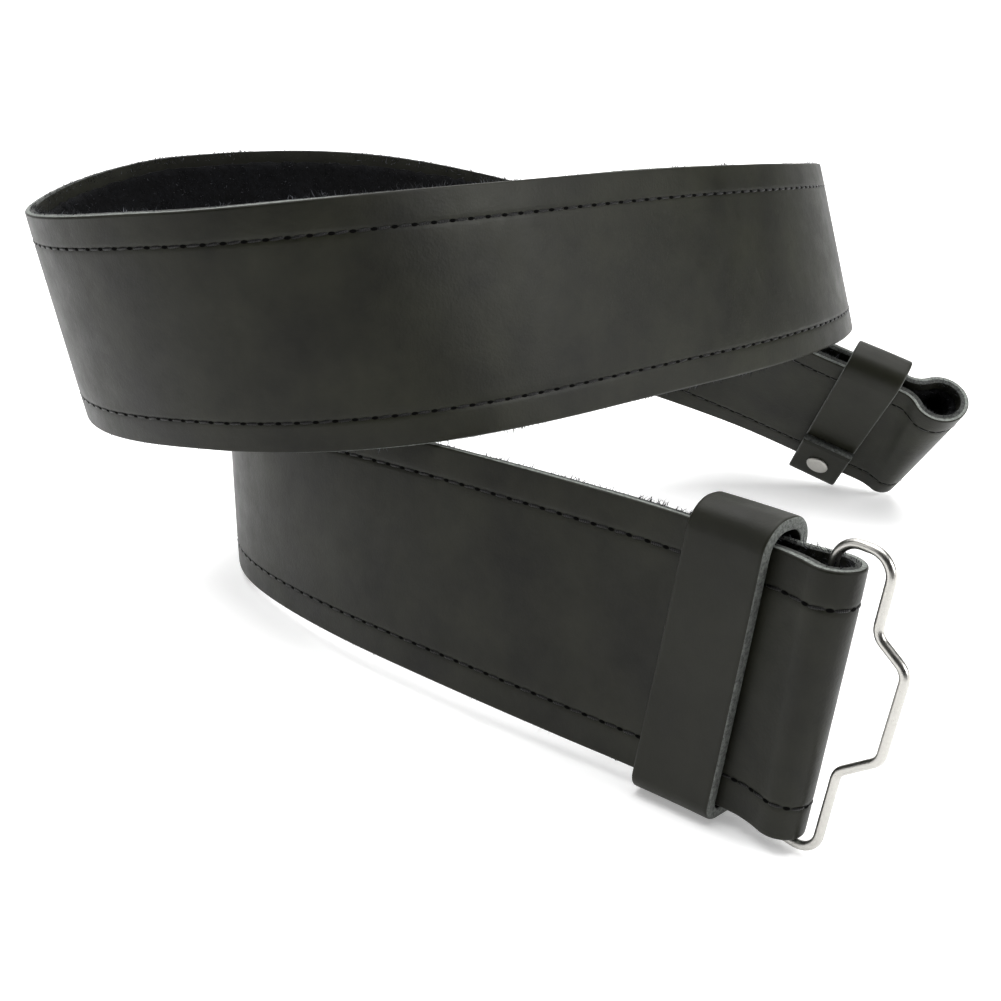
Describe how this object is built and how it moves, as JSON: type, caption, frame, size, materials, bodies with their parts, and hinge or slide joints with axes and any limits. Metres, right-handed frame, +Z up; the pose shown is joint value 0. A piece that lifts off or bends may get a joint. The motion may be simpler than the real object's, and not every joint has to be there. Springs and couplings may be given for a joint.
{
  "type": "kilt belt",
  "caption": "Wide leather kilt belt coiled on its edge, with a hinged bent-wire loop in one folded end, an open fold at the other and a leather keeper on each.",
  "frame": {"origin": "on the surface the belt lies on, under the middle of its bounding box", "axes": "+X to the right and +Y away from the viewer as the picture shows the coil, +Z up"},
  "size_m": [0.2778, 0.3158, 0.1226],
  "materials": {
    "strap_leather": "satin grain",
    "lining_pile": "short dark pile",
    "keeper_leather": "smooth satin",
    "rivet_metal": "matte",
    "wire_metal": "polished"
  },
  "bodies": {
    "belt": {"strap": "strap_leather", "lining": "lining_pile", "wide_keeper": "keeper_leather", "narrow_keeper": "keeper_leather", "rivet": "rivet_metal"},
    "loop": {"wire_loop": "wire_metal"}
  },
  "joints": [
    {"name": "loop_hinge", "type": "hinge", "parent": "belt", "child": "loop", "pos_m": [0.04408, -0.1442, 0.03193], "axis": [0.0849, -0.0024, 0.9964], "range_deg": [-80, 80]}
  ]
}
